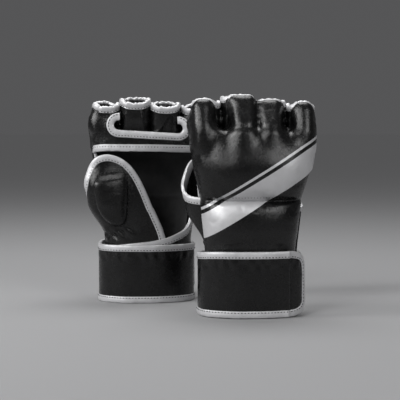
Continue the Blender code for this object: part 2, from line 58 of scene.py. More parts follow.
# Each glove is modelled once, in millimetres, in its own frame: +Z from the cuff to the fingers, the back of the
# hand faces -Y and the thumb side -X. The left glove is the same shape mirrored in Y. Heights are drawn on a scale
# of their own.
MM = 0.001
HEIGHT_SCALE = 0.991
KNUCKLE_AXIS = (0.0, 9.0, 180.7 / HEIGHT_SCALE)

# Heights that several pieces share
WRIST = 67.0
CREASE = 116.0
CAVITY_TOP = 182.0
FINGER_BASE = 184.0

# Hand shell, as in the CAD: heights, half widths, depths to the back and to the palm
SHELL_HEIGHTS = (WRIST, CREASE, 162.0, FINGER_BASE)
SHELL_WIDTHS = (45.0, 50.5, 59.5, 63.5)
SHELL_BACKS = (29.0, 31.0, 34.0, 30.0)
SHELL_PALMS = (27.0, 27.0, 24.0, 22.0)
ROUNDNESS = 0.85
SECTION_POWER = 2.0 / ROUNDNESS

# Padded back, a little out of true as sewn: heights, half widths, sideways shift and depth, then the padding's
# depth, the line of the upper edge across the hand, and the walls beside the hand
BACK_HEIGHTS = (0.0, WRIST, 92.0, 111.0, 120.0, 133.0, 150.0, 165.0, 181.0, 200.0)
BACK_WIDTHS = (45.5, 45.5, 48.0, 50.4, 51.8, 54.4, 57.7, 60.2, 62.0, 62.4)
BACK_SHIFTS = (0.0, 0.0, 0.2, 0.2, 0.4, 1.7, 3.1, 2.8, 2.0, 2.0)
BACK_DEPTHS = (29.0, 29.0, 31.0, 31.2, 31.8, 34.4, 35.4, 32.8, 27.2, 18.0)
PAD_HEIGHTS = (0.0, WRIST, CREASE, 150.0, 200.0)
PAD_DEPTHS = (7.0, 7.0, 13.5, 18.5, 20.0)
BACK_TOP_X = (-62.0, -45.0, -26.0, 7.0, 40.0, 64.0)
BACK_TOP_Z = (193.0, 192.0, 185.5, 184.5, 184.0, 190.0)
BACK_FOOT = 6.5
EDGE_WALL = 2.4
SIDE_WALL = 6.0

# Finger sleeves: centre and half width on the palm side and on the back, middle and half depth of the hole, then
# the rim's height on the back and how it arches down to the sides. The inner two are tucked in behind the palm
# bar, the outer two run into it and bulge to the side.
FINGER_SIZES = ("palm", "back", "hole", "pad", "top", "arch", "arch_power", "tuck", "pinch", "bulge", "square")
FINGERS = {name: dict(zip(FINGER_SIZES, sizes)) for name, *sizes in (
    ("index", (-43.2, 14.2), (-48.4, 12.4), (1.2, 10.0), 16.0, 216.8, 8.0, 3.0, -4.4, 0.0, -6.2, 2.3),
    ("middle", (-12.6, 16.3), (-7.8, 13.6), (3.6, 11.3), 23.0, 220.6, 3.5, 5.0, 2.8, 1.3, 0.0, 3.0),
    ("ring", (19.6, 16.2), (19.0, 13.0), (3.8, 11.0), 23.2, 216.4, 5.0, 3.0, 2.8, 0.5, 0.0, 2.6),
    ("little", (49.9, 13.8), (52.6, 12.2), (0.2, 9.0), 13.6, 214.4, 9.0, 2.4, -4.2, 0.5, 2.0, 2.3),
)}
FINGER_WALL = 2.5
FINGER_LEAN = 3.0
FINGER_TURN = (-15.0, 9.0)  # where, in depth, a finger's place across goes from the back's to the palm's
FINGERS_START, FINGERS_FULL = 142.0, 147.0
RIM_POWER = 2.7
RIM_PAD = 7.5
RIM_DROP = 7.0
WEBS = (-28.8, 3.4, 36.0)

# Palm bar, the slot above it, and the side seams that part the palm side from the back
BAR_FOOT = 162.0
BAR_THICKNESS = 2.8
SLOT_LEFT, SLOT_RIGHT = np.array([-30.6, 191.2]), np.array([33.0, 187.4])
SLOT_RADIUS = 5.0
SLOT_TAPE = 7.8
SEAM_Y = -5.0
SEAM_GAP = 0.15

# Grid that the padded hand is worked out on
CELL = 1.15
FIELD_LOW = np.array([-77.0, -46.0, 3.0])
FIELD_HIGH = np.array([79.0, 33.0, 230.0])
FIELD_REACH = 6.0
LEAST_SLOPE = 0.008
FREE = 40.0  # far enough from the hand's shell for it not to hold a sleeve

TAPE_WIDTH = 7.0
EDGE_TAPE_OUT = 0.8
STITCH_PITCH = 3.3
STITCH_SIDES, STITCH_RINGS = 6, 5


# Numbers and curves

def ease(v, low, high):
    """0 up to low, 1 from high on, and smooth between them."""
    t = np.clip((v - low) / (high - low), 0.0, 1.0)
    return t * t * (3.0 - 2.0 * t)


def mix(a, b, t):
    return a + (b - a) * t


def hill(v, centre, spread):
    return np.exp(-(((v - centre) / spread) ** 2))


def soft_min(a, b, k):
    t = np.clip(0.5 + 0.5 * (b - a) / k, 0.0, 1.0)
    return mix(b, a, t) - k * t * (1.0 - t)


def soft_max(a, b, k):
    return -soft_min(-a, -b, k)


def signed_power(v, p):
    return np.sign(v) * np.abs(v) ** p


def unit(v):
    return v / np.maximum(np.linalg.norm(v, axis=-1, keepdims=True), 1e-9)


def grid(rows, columns):
    return np.meshgrid(rows, columns, indexing="ij")


def blurred(line, weights):
    """A row of values smoothed with the given weights, its ends held."""
    padded = np.pad(line, len(weights) // 2, mode="edge")
    return np.convolve(padded, weights / weights.sum(), mode="valid")


def smooth_profile(z, heights, values, spread=7.0):
    """Linear between the given heights or angles, then smoothed."""
    step = 0.5
    fine = np.arange(-20.0, 290.0, step)
    reach = np.arange(-3 * spread, 3 * spread + step, step)
    return np.interp(z, fine, blurred(np.interp(fine, heights, values), hill(reach, 0.0, spread)))


def smoothed(values, rounds, directions=False):
    """Values along a line with small bumps evened out, its ends held. Directions stay unit vectors."""
    values = values.copy()
    for _ in range(rounds):
        inner = values[:-2] + 2 * values[1:-1] + values[2:]
        values[1:-1] = unit(inner) if directions else 0.25 * inner
    return values


def lengths_along(points):
    return np.concatenate([[0.0], np.cumsum(np.linalg.norm(np.diff(points, axis=0), axis=1))])


def spaced(points, spacing, *others):
    """The same line with its points a fixed distance apart, and other values carried along."""
    lengths = lengths_along(points)
    count = max(int(round(lengths[-1] / spacing)), 2)
    at = np.linspace(0.0, lengths[-1], count + 1)
    made = [np.stack([np.interp(at, lengths, v[:, i]) for i in range(v.shape[1])], axis=1)
            for v in (points, *others)]
    return made[0] if not others else made


def curve_through(points, spacing):
    """Catmull-Rom curve through the points, as points a fixed distance apart."""
    p = np.asarray(points, float)
    p = np.vstack([2 * p[0] - p[1], p, 2 * p[-1] - p[-2]])
    t = np.linspace(0.0, 1.0, 24, endpoint=False)[:, None]
    runs = []
    for a, b, c, d in zip(p, p[1:], p[2:], p[3:]):
        runs.append(0.5 * (2 * b + (c - a) * t + (2 * a - 5 * b + 4 * c - d) * t**2
                           + (3 * b - a - 3 * c + d) * t**3))
    runs.append(p[-2][None])
    return spaced(np.vstack(runs), spacing)


# Places on the hand

def back_sizes(z):
    return [smooth_profile(z, BACK_HEIGHTS, v) for v in (BACK_WIDTHS, BACK_SHIFTS, BACK_DEPTHS)]


def section_point(angle, z, width, depth, shift=0.0, offset=0.0):
    """A point on a rounded section. Angle 0 is the middle of the back, 90 the little-finger side, 180 the palm,
    270 the thumb side."""
    sine, cosine = np.sin(np.radians(angle)), np.cos(np.radians(angle))
    point = np.stack([shift + width * signed_power(sine, ROUNDNESS), -depth * signed_power(cosine, ROUNDNESS), z],
                     -1)
    outwards = np.stack([signed_power(sine, 2 - ROUNDNESS) / width, -signed_power(cosine, 2 - ROUNDNESS) / depth,
                         np.zeros_like(z)], -1)
    return point + unit(outwards) * np.asarray(offset)[..., None]


def hand_point(angle, z, offset=0.0):
    angle, z, offset = np.broadcast_arrays(*[np.asarray(v, float) for v in (angle, z, offset)])
    width, back, palm = [np.interp(z, SHELL_HEIGHTS, v) for v in (SHELL_WIDTHS, SHELL_BACKS, SHELL_PALMS)]
    return section_point(angle, z, width, np.where(np.cos(np.radians(angle)) > 0, back, palm), offset=offset)


def line_on(surface, u, v, offset=0.0):
    """A line on a surface, raised by an offset, and its normals."""
    path = surface(u, v, offset)
    return path, unit(surface(u, v, offset + 1.0) - path)


# Meshes

def add_object(name, data):
    obj = bpy.data.objects.new(name, data)
    scene.collection.objects.link(obj)
    return obj


def outward(points, faces):
    """Faces turned so that the closed mesh holds a positive volume."""
    volume = 0.0
    for face in faces:
        a = points[face[0]]
        for b, c in zip(face[1:], face[2:]):
            volume += np.dot(a, np.cross(points[b], points[c]))
    return faces if volume > 0 else [face[::-1] for face in faces]


def quad_faces(rows, columns, start=0, wrap=False):
    i, j = grid(np.arange(rows - 1), np.arange(columns if wrap else columns - 1))
    k = (j + 1) % columns
    quads = np.stack([i * columns + j, (i + 1) * columns + j, (i + 1) * columns + k, i * columns + k], -1)
    return (quads.reshape(-1, 4) + start).tolist()


def surface_normals(points):
    """Normals of a grid of points, facing away from the hand's middle."""
    n = unit(np.cross(np.gradient(points, axis=0), np.gradient(points, axis=1)))
    return n if np.sum(n[..., :2] * points[..., :2]) > 0 else -n


def sheet(points, thickness):
    """A closed sheet: the given grid is its outside."""
    rows, columns = points.shape[:2]
    inside = points - surface_normals(points) * thickness
    both = np.vstack([points.reshape(-1, 3), inside.reshape(-1, 3)])
    count = rows * columns
    faces = quad_faces(rows, columns)
    faces += [[v + count for v in face[::-1]] for face in faces]
    border = [i * columns for i in range(rows)] + [(rows - 1) * columns + j for j in range(1, columns)]
    border += [i * columns + columns - 1 for i in range(rows - 2, -1, -1)] + list(range(columns - 2, 0, -1))
    for a, b in zip(border, border[1:] + border[:1]):
        faces.append([b, a, a + count, b + count])
    return both, outward(both, faces)


def tape_profile(low, high, thickness, proud, inside):
    """Section of a bound edge: across the tape from low to high, and off the panel. It has a sewn groove."""
    width = high - low
    front = [(0.0, -0.1), (0.05, 0.55), (0.16, 0.9), (0.25, 0.62), (0.34, 0.9), (0.55, 1.0), (0.8, 0.9),
             (0.94, 0.45)]
    back = [(0.94, 0.4), (0.8, 0.8), (0.4, 0.9), (0.1, 0.7), (0.0, -0.1)]
    points = [(low + a * width, b * proud) for a, b in front]
    points.append((high, -0.5 * thickness))
    points += [(high - (1.0 - a) * width * inside, -thickness - b * proud) for a, b in back]
    return np.array(points)


def tape(path, normals, across, profile, closed, wave, seed, crinkle):
    """Sweeps a tape's section along a path, with small puckers."""
    s = lengths_along(path)
    pucker = wave * (np.sin(s / 1.5 + seed) + 0.7 * np.sin(s / 2.3 + 1.7 * seed + 0.4)
                     + 0.8 * np.sin(s / 4.1 + seed))
    if closed:
        join = 6.0
        fade = ease(s, 0.0, join) * (1.0 - ease(s, s[-1] - join, s[-1]))
        pucker = pucker * fade
    a, b = profile[:, 0], profile[:, 1]
    out = np.sign(b) * np.minimum(np.abs(b), 1.0)
    lip = ease(a, mix(a.min(), a.max(), 0.55), a.max()) + 0.6 * (b < -1.0)
    ruffle = crinkle * (np.sin(s / 0.95 + 2 * seed) * np.sin(s / 3.7 + seed) + 0.6 * np.sin(s / 1.7 + seed))
    a = a[None] + ruffle[:, None] * lip[None]
    points = (path[:, None] + across[:, None] * a[..., None]
              + normals[:, None] * (b[None] + pucker[:, None] * out[None])[..., None])
    rows, columns = points.shape[:2]
    flat = points.reshape(-1, 3)
    faces = quad_faces(rows, columns, wrap=True)
    last = (rows - 1) * columns
    if closed:
        faces += [[last + j, j, (j + 1) % columns, last + (j + 1) % columns] for j in range(columns)]
    else:
        faces += [list(range(columns)), list(range(last, last + columns))[::-1]]
    return flat, outward(flat, faces)


def stitch_row(path, normals, length=2.1, radius=0.42, pitch=STITCH_PITCH):
    """A row of sewn stitches: short rounded lengths of thread lying along the path, sunk at both ends."""
    path, normals = spaced(path, pitch / 8.0, normals)
    lengths = lengths_along(path)

    def at(d):
        i = np.clip(np.searchsorted(lengths, d), 1, len(lengths) - 1)
        return path[i], unit(normals[i])

    turn = np.linspace(0.0, 2 * np.pi, STITCH_SIDES, endpoint=False)
    ring = np.stack([np.cos(turn), np.sin(turn)], 1)
    near = 0.4
    rings, faces = [], []
    for start in np.arange(pitch * 0.5, lengths[-1] - length, pitch):
        first = len(rings) * STITCH_SIDES
        last = first + (STITCH_RINGS - 1) * STITCH_SIDES
        for t in np.linspace(0.0, 1.0, STITCH_RINGS):
            d = start + t * length
            centre, n = at(d)
            side = unit(np.cross(unit(at(d + near)[0] - at(d - near)[0]), n))
            swell = math.sqrt(max(1.0 - (2 * t - 1) ** 4, 0.0)) * 0.85 + 0.15
            lift = radius * (0.9 * (1.0 - (2 * t - 1) ** 2) - 0.35)
            rings.append(centre + n * lift + (side[None] * ring[:, :1] + n[None] * ring[:, 1:]) * radius * swell)
        faces += quad_faces(STITCH_RINGS, STITCH_SIDES, first, wrap=True)
        faces += [[first + j for j in range(STITCH_SIDES)], [last + j for j in range(STITCH_SIDES)][::-1]]
    points = np.vstack(rings)
    return points, outward(points, faces)


def field_mesh(field):
    """Surface of a field that is negative inside, as smooth quads."""
    volume_grid = openvdb.FloatGrid(FIELD_REACH)
    volume_grid.copyFromArray(np.clip(field, -FIELD_REACH, FIELD_REACH).astype(np.float32))
    points, quads = volume_grid.convertToQuads(isovalue=0.0)
    points = np.asarray(points, float) * CELL + FIELD_LOW
    quads = np.asarray(quads)
    a, b, c, d = (points[quads[:, i]] for i in range(4))
    if np.sum(np.einsum("ij,ij->i", a, np.cross(b, c) + np.cross(c, d))) < 0:
        quads = quads[:, ::-1]
    ends = np.concatenate([quads[:, [i, (i + 1) % 4]] for i in range(4)])
    count = np.bincount(ends[:, 0], minlength=len(points))[:, None]
    for share in (0.5, -0.52, 0.5, -0.52):
        total = np.zeros_like(points)
        np.add.at(total, ends[:, 0], points[ends[:, 1]])
        points = points + share * (total / np.maximum(count, 1) - points)
    return points, quads.tolist()


# Settled leather of the back

SKIN_X, SKIN_Z = np.linspace(-50.0, 52.0, 61), np.linspace(70.0, 188.0, 71)
SKIN_FADE = 5.0
SKIN_GROWTH, SKIN_PRESSURE, SKIN_CAP = 0.05, 2.0, 5.0
CLOTH_SCALE = 0.01
CLOTH_FRAMES = 20
CLOTH_SETTINGS = {"quality": 6, "mass": 0.3, "tension_stiffness": 20.0, "compression_stiffness": 20.0,
                  "shear_stiffness": 8.0, "bending_stiffness": 0.4, "shrink_min": -SKIN_GROWTH,
                  "use_pressure": True, "uniform_pressure_force": SKIN_PRESSURE}


def settle(points, faces, held):
    """Leather cut a little too large and padded, held where it is sewn: a short cloth simulation."""
    mesh = bpy.data.meshes.new("settling")
    mesh.from_pydata((points * CLOTH_SCALE).tolist(), [], faces)
    obj = add_object("settling", mesh)
    obj.vertex_groups.new(name="held").add(np.flatnonzero(held).tolist(), 1.0, "ADD")
    cloth = obj.modifiers.new("cloth", "CLOTH")
    for setting, value in CLOTH_SETTINGS.items():
        setattr(cloth.settings, setting, value)
    cloth.settings.vertex_group_mass = "held"
    cloth.settings.effector_weights.gravity = 0.0
    cloth.collision_settings.use_collision = False
    cloth.point_cache.frame_start, cloth.point_cache.frame_end = 1, CLOTH_FRAMES
    for number in range(1, CLOTH_FRAMES + 1):
        scene.frame_set(number)
    moved = obj.evaluated_get(bpy.context.evaluated_depsgraph_get()).data
    places = np.empty(len(points) * 3)
    moved.vertices.foreach_get("co", places)
    bpy.data.objects.remove(obj)
    bpy.data.meshes.remove(mesh)
    scene.frame_set(1)
    move = places.reshape(-1, 3) / CLOTH_SCALE - points
    far = np.linalg.norm(move, axis=1, keepdims=True)
    return points + move * np.minimum(1.0, SKIN_CAP / np.maximum(far, 1e-6))


def settled_back():
    """Puckers of the back's leather once it has settled, held at its edges and at the sewn crease."""
    x, z = grid(SKIN_X, SKIN_Z)
    width, shift, depth = back_sizes(z)
    across = np.clip(np.abs(x - shift) / width, 0.0, 0.999)
    y = -depth * (1.0 - across**SECTION_POWER) ** (1 / SECTION_POWER)
    points = np.stack([x, y, z], -1).reshape(-1, 3)
    held = np.abs(z - CREASE) < 1.0
    held[[0, -1]] = held[:, [0, -1]] = True
    moved = settle(points, quad_faces(*x.shape), held.ravel())
    out = (points - moved)[:, 1].reshape(x.shape)
    weights = hill(np.arange(-8, 9), 0.0, 4.0)
    smooth = out
    for axis in (0, 1):
        smooth = np.apply_along_axis(blurred, axis, smooth, weights)
    fade = ease(x, SKIN_X[0], SKIN_X[0] + SKIN_FADE) * (1.0 - ease(x, SKIN_X[-1] - SKIN_FADE, SKIN_X[-1]))
    fade = fade * ease(z, SKIN_Z[0], SKIN_Z[0] + SKIN_FADE)
    return (out - smooth) * fade * (1.0 - 0.85 * ease(z, 132.0, 152.0)) * (1.0 - ease(z, 178.0, 187.0))


skin = settled_back()


def skin_height(x, z):
    i = np.clip((x - SKIN_X[0]) / (SKIN_X[1] - SKIN_X[0]), 0.0, len(SKIN_X) - 1.001)
    k = np.clip((z - SKIN_Z[0]) / (SKIN_Z[1] - SKIN_Z[0]), 0.0, len(SKIN_Z) - 1.001)
    i, k = np.broadcast_arrays(i, k)
    a, b = i.astype(int), k.astype(int)
    u, v = i - a, k - b
    return mix(mix(skin[a, b], skin[a + 1, b], u), mix(skin[a, b + 1], skin[a + 1, b + 1], u), v)


# Padded back, fingers and palm bar: one field, cut along the side seams

# Valleys between the knuckles: place across, spread, depth, and the heights over which they come in
VALLEYS = ((-25.0, 7.5, 0.7, 140.0, 168.0), (-26.0, 6.5, 1.6, 168.0, 183.0), (6.2, 3.5, 1.6, 172.0, 186.0),
           (36.5, 5.0, 2.6, 166.0, 184.0))


def rounded_distance(a, b, power):
    """About the distance on the grid from a rounded outline that reaches to 1 both ways, negative inside."""
    field = (np.abs(a) ** power + np.abs(b) ** power) ** (1 / power) - 1.0
    slopes = np.gradient(field, CELL)
    return field / np.maximum(np.sqrt(sum(s * s for s in slopes)), LEAST_SLOPE)


def back_relief(x, z):
    """How far the leather on the back stands out: padded rolls, sewn crease, folds, ridges down the fingers."""
    width, shift, _ = back_sizes(z)
    middle = 1.0 - np.clip(np.abs(x - shift) / width, 0.0, 1.0) ** 6
    crease = 3.6 * hill(z, CREASE, 2.6) + 2.2 * hill(z, CREASE, 8.0)
    lower = 3.4 * ease(z, WRIST, 88.0) * (1.0 - ease(z, 94.0, 118.0))
    upper = 3.2 * hill(z, 147.0, 24.0) * ease(z, CREASE, 128.0)
    slanted = np.sin((x + 0.55 * (z - CREASE)) / 1.5) * hill(z, CREASE + 4.0, 7.0) * ease(-x, 14.0, 30.0)
    knuckle = 0.9 * hill(x, 15.0, 15.0) * hill(z, 154.0, 14.0)
    index = 2.4 * hill(x, -52.0, 9.0) * hill(z, 150.0, 14.0)
    soft = 0.5 * np.sin(x / 17.0 + z / 23.0) * np.sin(z / 13.0 - x / 29.0)
    relief = (lower + upper - crease * mix(0.4, 1.0, middle) + 0.4 * slanted + skin_height(x, z) + knuckle + soft)
    for place, spread, depth, low, high in VALLEYS:
        relief = relief - depth * hill(x, place, spread) * ease(z, low, high)
    return relief * mix(0.2, 1.0, middle) + index


def finger_middle(finger, y, bulge=0.0):
    """A finger's centre and half width across the hand, at a depth."""
    (palm_x, palm_w), (back_x, back_w) = finger["palm"], finger["back"]
    side = ease(y, *FINGER_TURN)
    return mix(back_x, palm_x + 0.5 * bulge, side), mix(back_w, palm_w + 0.5 * np.abs(bulge), side)


def finger_rim(finger, x, y):
    """Height of a sleeve's rim: lower on the palm side, and falling away to both sides on the back."""
    middle, half = finger["hole"]
    middle_x, width = finger_middle(finger, y)
    across = np.clip(np.abs((x - middle_x) / width), 0.0, 1.3)
    into = (y - (middle + FINGER_LEAN - half)) / (2 * half)
    fall = finger["arch"] * (1.0 - ease(y, -10.0, 6.0)) * across ** finger["arch_power"]
    outer = 3.0 * np.clip(-into * 2 * half / RIM_PAD, 0.0, 1.6) ** 2
    smile = 2.8 * ease(y, 0.0, 10.0) * across**2
    return finger["top"] - RIM_DROP * np.clip(into, 0.0, 1.05) - outer - fall + smile


def finger_folds(x, y, z):
    """Creases of the thin leather on the sleeves' palm side."""
    up = z - 186.0
    slanted = 1.1 * hill(x - 13.0 - 0.75 * up + 0.012 * up**2, 0.0, 1.7) * (1.0 - ease(z, 198.0, 204.0))
    upright_fold = 0.9 * hill(x + 6.0 + 0.22 * (z - 198.0), 0.0, 2.4)
    index_fold = 0.8 * hill(x + 41.0 - 0.2 * (z - 195.0), 0.0, 3.0)
    soft = 0.35 * np.sin(x / 4.1 + z / 6.3) * np.sin(z / 4.7 - x / 8.0)
    return ease(y, 6.0, 12.0) * (slanted + upright_fold + index_fold + soft)


def sleeve_fields(finger, x, y, z, shell, cavity):
    """One finger sleeve and its hole. On the back, its padding runs on down over the knuckles."""
    (middle, half), top = finger["hole"], finger["top"]
    t = (z - FINGER_BASE) / (top - FINGER_BASE)
    tuck = finger["tuck"] * (1.0 - ease(z, FINGER_BASE, 199.0 if finger["tuck"] > 0 else 208.0))
    centre = middle + FINGER_LEAN * np.clip(t, 0.0, 1.2) ** 2
    pinch = finger["pinch"] * hill(z, 188.0, 3.2)
    bulge = finger["bulge"] * ease(z, 172.0, 192.0) * (1.0 - ease(z, 193.0, 213.0))
    middle_x, width = finger_middle(finger, y, bulge)
    across = (x - middle_x) / (width - 0.35 * pinch)
    front = half + mix(finger["pad"], RIM_PAD, ease(t, -0.1, 1.0)) - pinch - 9.0 * ease(-z, -176.0, -144.0)
    along = (y - centre) / np.where(y < centre, front, half + FINGER_WALL - tuck)
    outside = rounded_distance(across, along, np.where(y < centre, finger["square"], RIM_POWER))
    flank = ease(np.abs(across), 0.6, 0.85) * ease(y, -22.0, -8.0) * (1.0 - ease(y, 6.0, 12.0))
    flank = flank * ease(z, 180.0, 190.0)
    creases = 0.28 * flank * (np.sin(z / 1.6 + y / 2.4) + np.sin(z / 2.7 - y / 1.9 + x / 9.0))
    creases = creases + finger_folds(x, y, z)
    outside = outside - creases * (1.0 - ease(z, top - 18.0, top - 11.0))
    sleeve = soft_max(outside, (z - finger_rim(finger, x, y)) * 0.96, 4.0)
    sleeve = soft_max(sleeve, mix(146.0, 171.0, ease(y, -9.0, 0.0)) - z, 2.0)
    to_palm = ease(y, -8.0, 4.0)
    freed = ease(z, mix(160.0, 178.0, to_palm), mix(191.0, 202.0, to_palm))
    sleeve = soft_max(sleeve, shell - mix(0.2, FREE, freed), 2.0)
    sleeve = soft_max(sleeve, -np.maximum(cavity, z - CAVITY_TOP), 1.0)
    hole_along = (y - centre) / np.where(y < centre, half, half - tuck)
    hole = rounded_distance((x - middle_x) / (width - FINGER_WALL), hole_along, RIM_POWER)
    hole = np.maximum(hole, shell + FINGER_WALL - FREE * ease(z, 194.0, 203.0) * to_palm)
    return sleeve, np.maximum(hole, 173.0 - z)


def slot_field(x, z):
    """Distance from the slot's outline, which has round ends and straight sides."""
    run = SLOT_RIGHT - SLOT_LEFT
    x, z = x - SLOT_LEFT[0], z - SLOT_LEFT[1]
    share = np.clip((x * run[0] + z * run[1]) / np.dot(run, run), 0.0, 1.0)
    return np.hypot(x - share * run[0], z - share * run[1]) - SLOT_RADIUS


def hand_field():
    """The field of the whole padded hand, and that of its side seams."""
    axes = [np.arange(a, b, CELL) for a, b in zip(FIELD_LOW, FIELD_HIGH)]
    x, y, z = axes[0][:, None, None], axes[1][None, :, None], axes[2][None, None, :]
    width, shift, depth = back_sizes(z)
    palm = np.interp(z, SHELL_HEIGHTS, SHELL_PALMS)
    shell = rounded_distance((x - shift) / width, y / np.where(y < 0, depth, palm), SECTION_POWER)
    padding = smooth_profile(z, PAD_HEIGHTS, PAD_DEPTHS)
    wall = mix(EDGE_WALL, SIDE_WALL, ease(-y, 0.0, 13.0))
    inner_depth = np.clip(-y, 0.0, None) / np.maximum(depth - padding, 3.0)
    inside = rounded_distance((x - shift) / (width - wall), inner_depth, SECTION_POWER)
    back = soft_max(shell - back_relief(x, z), -inside, 1.5)
    back = soft_max(back, y - mix(0.4, 8.0, ease(x, -20.0, 20.0)), 2.2)
    back = soft_max(back, z - np.interp(x, BACK_TOP_X, BACK_TOP_Z), 8.0)
    back = np.maximum(back, BACK_FOOT - z)

    first = int((FINGERS_START - FIELD_LOW[2]) / CELL)
    z_top, shell, cavity = z[:, :, first:], shell[:, :, first:], inside[:, :, first:]
    bar = soft_max(shell, -(shell + BAR_THICKNESS), 0.8)
    ends = 1.0 - ease(x, SLOT_LEFT[0] - 5.0, SLOT_LEFT[0]) + ease(x, SLOT_RIGHT[0], SLOT_RIGHT[0] + 5.0)
    bar = soft_max(bar, np.maximum(BAR_FOOT - z_top, z_top - mix(SLOT_RIGHT[1], 198.0, ends)), 1.0)
    bar = np.maximum(bar, -1.0 - y)
    sleeves = {name: sleeve_fields(finger, x, y, z_top, shell, cavity) for name, finger in FINGERS.items()}
    sides = soft_min(soft_min(bar, sleeves["index"][0], 3.5), sleeves["little"][0], 3.5)
    sides = soft_max(sides, -np.maximum(slot_field(x, z_top), 4.0 - y), 1.6)
    hug = mix(8.5, 0.6, ease(y, -6.0, 4.0))
    body = soft_min(back[:, :, first:], sides, np.maximum(hug, 3.0))
    for name in ("middle", "ring"):
        body = soft_min(body, sleeves[name][0], hug)
    body = soft_max(body, -np.maximum(np.maximum(cavity, z_top - CAVITY_TOP), y + 3.0), 1.0)
    for web_x in WEBS:
        web = np.maximum(np.abs(x - web_x) - 4.5, np.abs(y - 3.5 - 0.8 * np.sin(z_top / 2.1)) - 1.3)
        body = np.minimum(body, np.maximum(web, np.maximum(178.0 - z_top, z_top - 204.0)))
    for _, hole in sleeves.values():
        body = soft_max(body, -hole, 1.2)
    whole = back.copy()
    whole[:, :, first:] = mix(back[:, :, first:], body, ease(z_top, FINGERS_START, FINGERS_FULL))
    return whole, y - (SEAM_Y + 90.0 * (1.0 - ease(z, 159.0, 161.6)))


whole, seam = hand_field()
back_shell = field_mesh(np.maximum(whole, seam + SEAM_GAP))
palm_panel = field_mesh(np.maximum(whole, SEAM_GAP - seam))
back_tree, palm_tree = (BVHTree.FromPolygons([Vector(p) for p in points], faces)
                        for points, faces in (back_shell, palm_panel))
FROM_BACK, FROM_PALM = -60.0, 60.0


def cast(tree, x, z, from_y):
    """Where a ray along Y meets a panel, and the normal there."""
    heading = Vector((0.0, -1.0 if from_y > 0 else 1.0, 0.0))
    return tree.ray_cast(Vector((x, from_y, z)), heading)[:2]


def on_panel(tree, points, from_y):
    """The points of a line drawn in (x, z), dropped on the panel along Y, with smoothed normals."""
    hits = [cast(tree, x, z, from_y) for x, z in points]
    hits = [(place, normal) for place, normal in hits if place is not None]
    places, normals = (np.array(values) for values in zip(*hits))
    return smoothed(places, 12), smoothed(normals, 12, directions=True)


# The list of pieces of one glove

HAND_FINGERS = ("hand", "fingers")
HAND_THUMB = ("hand", "thumb")
HAND_STRAP = ("hand", "strap")
pieces = []


def piece(name, shape, finish, rides, stands_for=(), padded=None, banded=False):
    pieces.append((name, shape, finish, rides, stands_for, padded, banded))


def tape_and_stitches(name, path, normals, across, rides, stands_for, high, thickness, low=-EDGE_TAPE_OUT,
                      proud=0.9, closed=False, wave=0.12, seed=0.0, stitch=0.25, inside=1.0, crinkle=0.0):
    section = tape_profile(low, high, thickness, proud, inside)
    shape = tape(path, normals, across, section, closed, wave, seed, crinkle)
    piece(name, shape, "silver", rides, stands_for)
    row = path + across * (low + stitch * (high - low)) + normals * proud * 0.62
    if closed:
        row, normals = np.vstack([row, row[:1]]), np.vstack([normals, normals[:1]])
    piece(name.replace("_tape", "") + "_stitches", stitch_row(row, normals), "thread", rides)


def tape_across(path, normals, at, upwards=True):
    """Directions across a tape, square to its path, that head up the hand, or down it, at one of its points."""
    across = unit(np.cross(np.gradient(path, axis=0), normals))
    return across if (across[at][2] > 0) == upwards else -across


piece("back_shell", back_shell, "leather", HAND_FINGERS,
      ("back_cover", "knuckle_foam", "back_foam", "index_stall", "middle_stall", "ring_stall", "little_stall"),
      padded=0.7, banded=True)
piece("palm_panel", palm_panel, "leather", HAND_FINGERS, ("palm_bar",))


# Lining

LINING_GAP = 0.7
LINING_THICKNESS = 1.0
LINING_FOLD = 112.0


def lining_point(angle, z):
    width, shift, depth = back_sizes(z)
    padding = smooth_profile(z, PAD_HEIGHTS, PAD_DEPTHS)
    wall = mix(EDGE_WALL, SIDE_WALL, ease(np.cos(np.radians(angle)), 0.0, 0.6))
    fold = 1.6 * hill(z, LINING_FOLD, 2.6) - 0.5 * hill(z, LINING_FOLD, 8.0)
    return section_point(angle, z, width - wall - LINING_GAP, depth - padding - LINING_GAP - fold, shift)


lining = lining_point(*grid(np.linspace(-88.0, 88.0, 73), np.linspace(8.0, 181.0, 130)))
piece("hand_lining", sheet(lining, LINING_THICKNESS), "lining", "hand", ("hand_lining",))


# Palm bar and finger slot

BAR_ANGLES = (92.0, 150.0, 180.0, 230.0, 258.0, 268.0)
BAR_EDGE = (167.4, 168.6, 169.4, 169.8, 168.6, 166.8)
SLOT_TAPE_INSET = 0.3


def bar_point(angle, z, offset=0.0):
    """A point on the palm bar's outside."""
    width, shift, _ = back_sizes(z)
    return section_point(angle, z, width, np.interp(z, SHELL_HEIGHTS, SHELL_PALMS), shift, offset)


angle = np.linspace(BAR_ANGLES[0], BAR_ANGLES[-1], 500)
line = smooth_profile(angle, BAR_ANGLES, BAR_EDGE, 5.0)
path, normals = line_on(bar_point, angle, line)
path, normals = spaced(path, 1.0, normals)
down = -unit(np.array([0.0, 0.0, 1.0]) - normals * normals[:, 2:])
tape_and_stitches("palm_bar_tape", path, normals, down, "hand", ("palm_bar_binding",), low=-1.0,
                  high=TAPE_WIDTH, thickness=BAR_THICKNESS, seed=0.7, stitch=0.34)


def slot_end(middle, start, end):
    turn = np.radians(np.linspace(start, end, 40))
    return middle + (SLOT_RADIUS + SLOT_TAPE_INSET) * np.stack([np.cos(turn), np.sin(turn)], 1)


